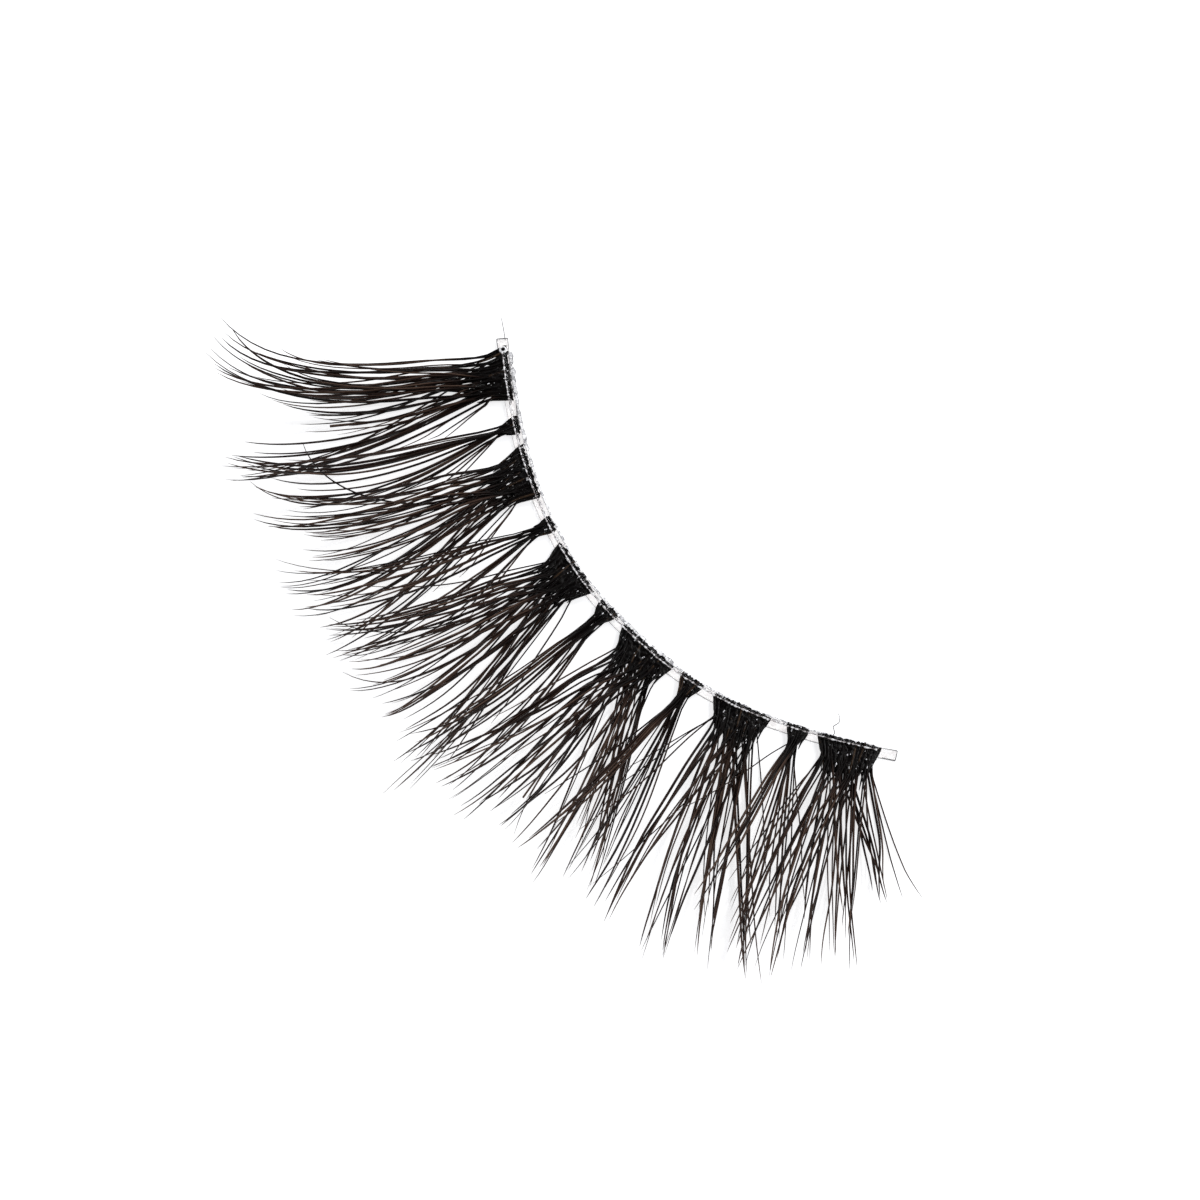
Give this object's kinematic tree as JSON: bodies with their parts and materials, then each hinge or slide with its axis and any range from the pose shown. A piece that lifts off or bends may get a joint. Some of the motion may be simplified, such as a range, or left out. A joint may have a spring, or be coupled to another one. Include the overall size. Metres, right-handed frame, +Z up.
{
  "type": "false eyelash strip",
  "caption": "Curved clear band carrying wide and narrow clusters of long, tapered, upward-curling black lashes that cross and fan out from glossy bonded roots.",
  "frame": {"origin": "middle of the length and width of the band's underside, where the strip rests", "axes": "+Z up from the surface it rests on; +X along the band at its middle; the lashes leave the band towards -Y and the eyelid side faces +Y"},
  "size_m": [0.0442, 0.0214, 0.0073],
  "materials": {
    "lash_fibre": "near-black espresso synthetic fibre with a soft sheen, glossy where it is bonded",
    "clear_film": "clear glossy film"
  },
  "bodies": {
    "root": {"clear_band": "clear_film", "clear_thread": "clear_film", "wide_cluster_1": "lash_fibre", "wide_cluster_2": "lash_fibre", "wide_cluster_3": "lash_fibre", "wide_cluster_4": "lash_fibre", "wide_cluster_5": "lash_fibre", "wide_cluster_6": "lash_fibre", "small_cluster_1": "lash_fibre", "small_cluster_2": "lash_fibre", "small_cluster_3": "lash_fibre", "small_cluster_4": "lash_fibre", "small_cluster_5": "lash_fibre"}
  },
  "joints": []
}
